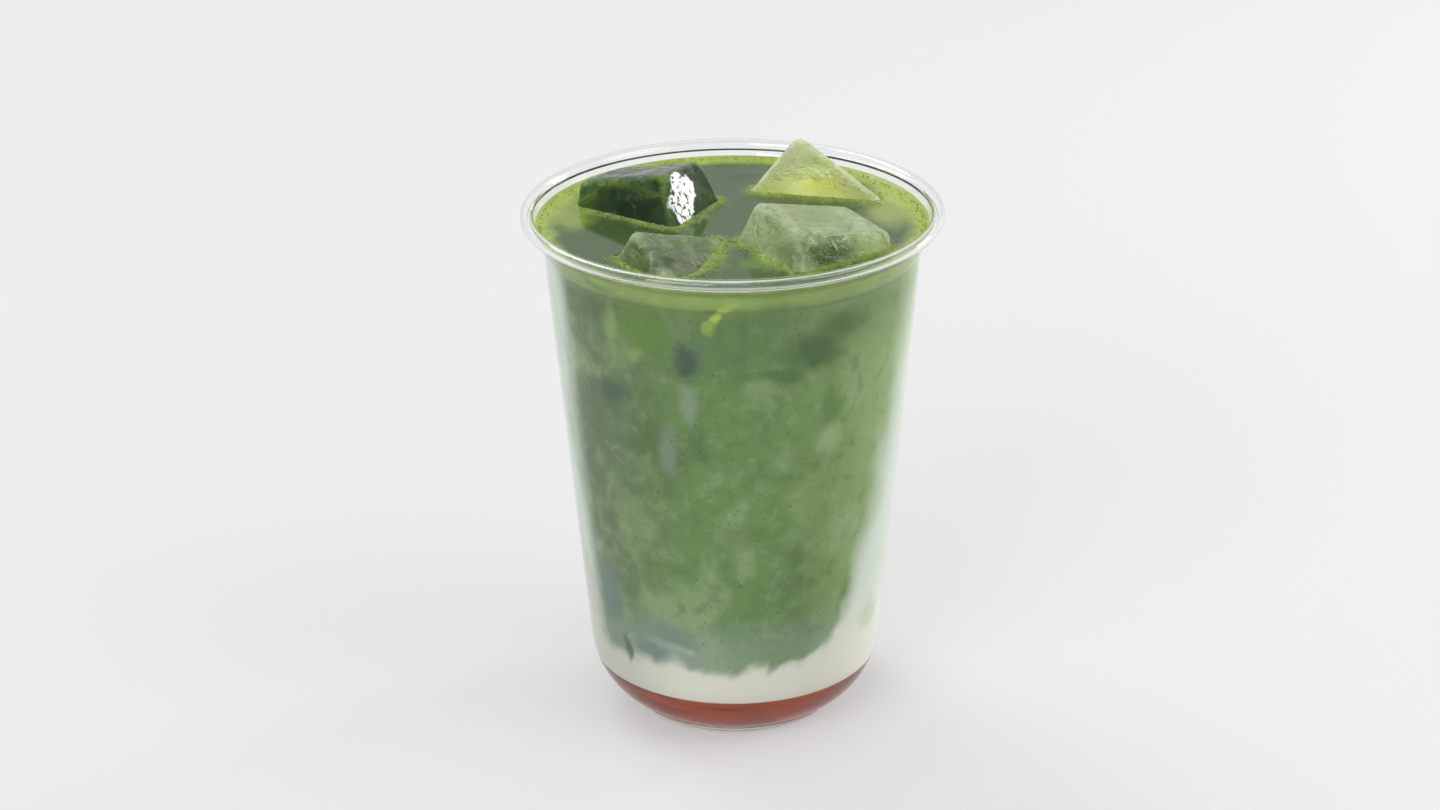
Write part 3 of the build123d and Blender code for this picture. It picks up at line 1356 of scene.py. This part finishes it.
# ------------------------------------------------------------------ studio
@dataclass
class Studio:
    """Floor, light and camera."""

    eye: tuple = (0.0, -0.7388, 0.3933)
    aim: tuple = (-0.0032, 0.0, 0.0748)
    roll: float = -0.450
    lens: float = 85.0
    floor_size: float = 6.0
    plain_share: float = 0.4
    room_light: float = 0.78

    def camera(self) -> None:
        """Place the camera, turned a little about its line of sight."""
        data = bpy.data.cameras.new("view")
        data.lens = self.lens
        data.sensor_width = 36.0
        data.clip_end = 20.0
        camera = bpy.data.objects.new("view", data)
        bpy.context.scene.collection.objects.link(camera)
        ahead = (Vector(self.aim) - Vector(self.eye)).normalized()
        right = ahead.cross(Vector((0, 0, 1))).normalized()
        up = right.cross(ahead)
        turn = math.radians(self.roll)
        right, up = right * math.cos(turn) + up * math.sin(turn), up * math.cos(turn) - right * math.sin(turn)
        camera.matrix_world = Matrix((right, up, -ahead)).transposed().to_4x4()
        camera.location = self.eye
        bpy.context.scene.camera = camera

    def floor(self) -> None:
        """Lay a wide pale floor that keeps the cup's soft shadow."""
        bm = bmesh.new()
        bmesh.ops.create_grid(bm, x_segments=1, y_segments=1, size=self.floor_size)
        mesh = bpy.data.meshes.new("floor")
        bm.to_mesh(mesh)
        bm.free()
        piece = bpy.data.objects.new("floor", mesh)
        bpy.context.scene.collection.objects.link(piece)
        shader = Shader("pale_floor")
        diffuse = shader.node("ShaderNodeBsdfDiffuse")
        diffuse.inputs["Color"].default_value = srgb(209, 209, 209)
        plain = shader.node("ShaderNodeEmission")
        plain.inputs["Color"].default_value = srgb(235, 235, 235)
        path = shader.node("ShaderNodeLightPath")
        blend = shader.node("ShaderNodeMixShader")
        clear = shader.math("MAXIMUM", path.outputs["Is Glossy Ray"], path.outputs["Is Transmission Ray"])
        seen = shader.math("MULTIPLY", shader.math("MAXIMUM", path.outputs["Is Camera Ray"], clear), self.plain_share)
        shader.link(seen, blend.inputs[0])
        shader.link(diffuse.outputs[0], blend.inputs[1])
        shader.link(plain.outputs[0], blend.inputs[2])
        mesh.materials.append(shader.finish(blend.outputs[0]))

    def lamp(self, name: str, place: tuple, size: float, power: float) -> None:
        """Hang a soft square lamp that faces the cup.

        Args:
            name: name of the lamp.
            place: where it hangs, in metres.
            size: its side, in metres.
            power: its power, in watts.
        """
        data = bpy.data.lights.new(name, "AREA")
        data.shape = "SQUARE"
        data.size = size
        data.energy = power
        lamp = bpy.data.objects.new(name, data)
        bpy.context.scene.collection.objects.link(lamp)
        lamp.location = place
        ahead = Vector((0, 0, 0.09)) - Vector(place)
        lamp.rotation_euler = ahead.to_track_quat("-Z", "Y").to_euler()
        lamp.visible_camera = False

    def light(self) -> None:
        """Light the cup softly from all round, with a key lamp above and behind on the left."""
        world = bpy.data.worlds.new("pale_room")
        world.use_nodes = True
        tree = world.node_tree
        plain = tree.nodes["Background"]
        plain.inputs["Color"].default_value = (1.0, 1.0, 1.0, 1.0)
        plain.inputs["Strength"].default_value = self.room_light
        bpy.context.scene.world = world
        self.lamp("high", (-0.6, 0.75, 1.2), 0.7, 6.5)
        self.lamp("glint", (0.945, 0.533, 0.269), 0.24, 5.0)
        self.lamp("right", (0.9, -0.35, 1.0), 0.7, 4.0)
        self.lamp("front", (-0.7, -1.2, 0.9), 0.9, 9.5)

    def build(self) -> None:
        """Set up the studio."""
        bpy.context.scene.view_settings.view_transform = "Standard"
        self.camera()
        self.floor()
        self.light()


def ice_blocks() -> list[IceBlock]:
    """Describe the four blocks that break the surface, each with its own finish.

    Returns:
        The blocks, from the back left to the front right.
    """
    deep_green = Ice(
        name="ice_deep_green", light=srgb(96, 136, 92), dark=srgb(50, 88, 52), clarity=0.86, frost=0.03,
        dent=0.0018, seed=0.31, edge=srgb(136, 172, 84), edge_highlight_strength=0.65,
        patches=(Patch((-20, 12, 130.5), (14, 12, 2.6), srgb(34, 62, 34), 0.95),
                 Patch((-22, 4, 124), (10, 7, 5.5), srgb(40, 76, 48), 0.9),
                 Patch((-33, 9, 123), (4.5, 6, 5), srgb(122, 152, 62), 0.8),
                 # The next two patches are painted highlight: light green bands along the block's top edge.
                 Patch((-27.5, 8.3, 127.2), (8.5, 5, 2.0), srgb(138, 168, 78), 0.95),
                 Patch((-19.5, 3.2, 127.2), (7.5, 5, 2.0), srgb(124, 156, 70), 0.95),
                 Patch((-5.5, 13, 125.5), (4, 7, 4), srgb(48, 76, 40), 0.8)),
        shade=srgb(34, 64, 36), cracked=0.22, painted_glint=((-11.6, 4.6, 125.4), (4.3, 8.5, 6.6)), bend=1.22)
    bright = Ice(
        name="ice_bright", light=srgb(252, 254, 230), dark=srgb(238, 248, 188), clarity=0.86, frost=0.03,
        dent=0.0042, seed=0.57, edge=srgb(240, 248, 218), edge_highlight_strength=0.7,
        patches=(Patch((11.0, 23, 127.0), (5, 7, 4.6), srgb(236, 244, 220), 0.8),
                 Patch((21.5, 18.4, 122.8), (8.5, 7, 3.2), srgb(226, 224, 104), 0.9)),
        shade=srgb(168, 192, 104))
    cloudy = Ice(
        name="ice_cloudy", light=srgb(184, 204, 158), dark=srgb(148, 172, 122), clarity=0.80, frost=0.05,
        dent=0.0028, seed=0.83, edge=srgb(186, 208, 160), edge_highlight_strength=0.6,
        patches=(Patch((-24, -26, 123), (5, 6, 4.5), srgb(184, 204, 150), 0.7),
                 Patch((-19.5, -29.5, 125.2), (4.5, 5, 1.3), srgb(66, 92, 44), 0.9),
                 Patch((-15, -33, 123.4), (5, 5, 1.5), srgb(66, 92, 44), 0.9)))
    frosted = Ice(
        name="ice_frosted", light=srgb(216, 230, 194), dark=srgb(184, 204, 160), clarity=0.70, frost=0.05,
        dent=0.0030, seed=0.12, edge=srgb(206, 222, 186), edge_highlight_strength=0.32,
        patches=(Patch((5, -17, 125), (7.5, 9, 6.0), srgb(224, 236, 198), 0.85),
                 # Painted reflection: a dark green patch on the lower front face, standing in for the drink reflected
                 # there.
                 Patch((21, -27, 123.0), (15, 9, 4.6), srgb(70, 98, 46), 0.95),
                 # Partly frost, partly painted sheen: the top face is painted pale where light glances off it.
                 Patch((13, -8, 130.2), (16, 12, 2.6), srgb(228, 238, 212), 0.75)))
    return [
        IceBlock("ice_back_left", deep_green, tone=0.08),
        IceBlock("ice_back_right", bright, tone=1.0),
        IceBlock("ice_front_left", cloudy, tone=0.66),
        IceBlock("ice_front_right", frosted, tone=0.62),
    ]


def main() -> None:
    """Build the drink, piece by piece, and the studio round it."""
    logging.basicConfig(level=logging.INFO, format="%(message)s")
    _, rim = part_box("cup")
    _, syrup_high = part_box("syrup")
    _, matcha_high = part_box("matcha")
    cup = CupForm(rim_radius=rim.x, height=rim.z)
    Studio().build()
    Cup(cup).build()
    ice = [(block, block.build()) for block in ice_blocks()]
    form = DrinkForm(cup, syrup_top=syrup_high.z, fill=matcha_high.z)
    contents = Contents(form, ice)
    finish = Drink(form.fill, cup.heel[0] - cup.slope * cup.heel[1], cup.slope).material()
    contents.syrup()
    contents.milk(finish)
    contents.matcha(finish)
    Bubbles(form, contents).build()


if __name__ == "__main__":
    main()
